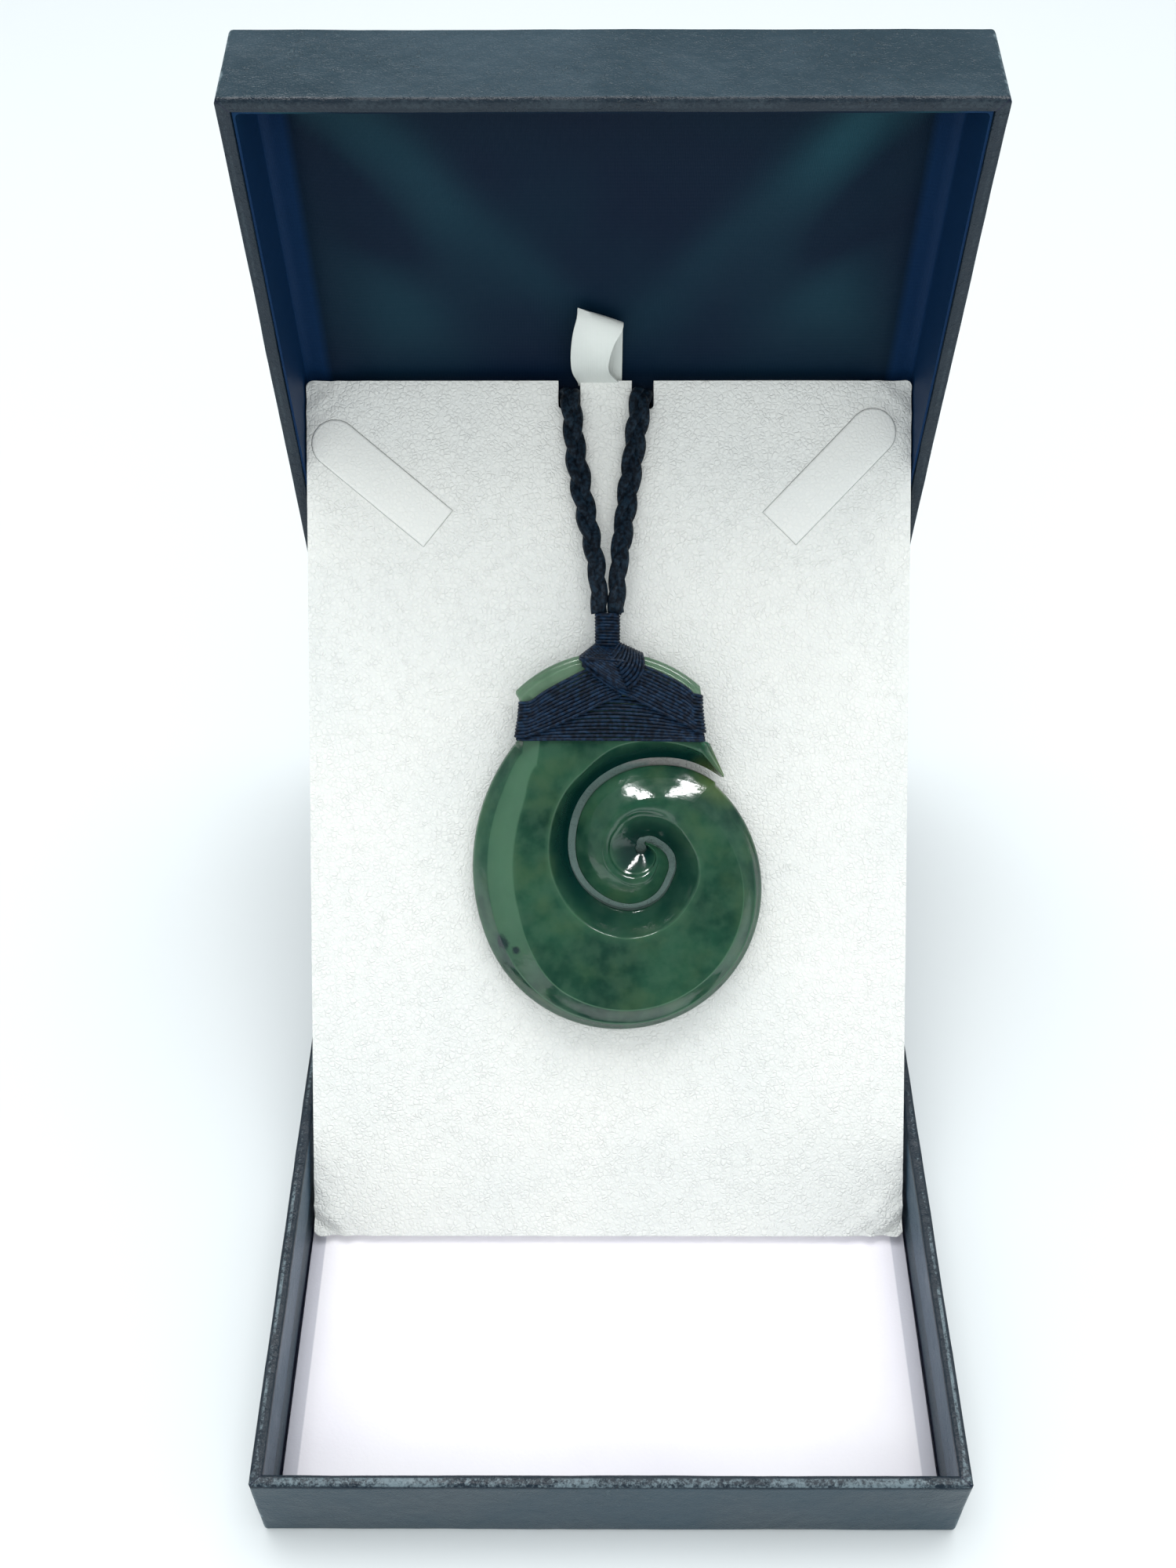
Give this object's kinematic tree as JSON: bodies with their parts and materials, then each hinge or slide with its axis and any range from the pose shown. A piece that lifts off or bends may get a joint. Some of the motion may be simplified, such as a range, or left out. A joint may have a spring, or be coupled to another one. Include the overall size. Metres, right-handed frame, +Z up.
{
  "type": "koru pendant and presentation box",
  "caption": "Carved spiral pendant on a plaited neck cord, lying on a display pad that leans in an open presentation box with a hinged lid.",
  "frame": {"origin": "centre of the underside of the box base", "axes": "+Z up, +X to the viewer's right, +Y away from the viewer towards the hinge"},
  "size_m": [0.1164, 0.1831, 0.1842],
  "materials": {
    "box_leatherette": "grained, low sheen",
    "tray_card": "smooth matte card",
    "lid_satin": "satin",
    "pad_leatherette": "pebbled, matte",
    "ribbon_satin": "satin",
    "jade": "polished, slightly translucent",
    "waxed_thread": "waxed",
    "plaited_cord": "waxed, plaited"
  },
  "bodies": {
    "box": {"base_shell": "box_leatherette", "tray_floor": "tray_card", "hinge_spine": "box_leatherette", "display_pad": "pad_leatherette", "pad_tongue_left": "pad_leatherette", "pad_tongue_right": "pad_leatherette", "ribbon_loop": "ribbon_satin", "koru_stone": "jade", "lashing_turns": "waxed_thread", "lashing_wrap_left": "waxed_thread", "lashing_wrap_right": "waxed_thread", "head_knot": "waxed_thread", "neck_whipping": "waxed_thread", "cord": "plaited_cord"},
    "lid": {"lid_shell": "box_leatherette", "lid_lining": "lid_satin"}
  },
  "joints": [
    {"name": "lid_hinge", "type": "hinge", "parent": "box", "child": "lid", "pos_m": [0, 0.0825, 0.0185], "axis": [-1, 0, 0], "range_deg": [0, 20]}
  ]
}
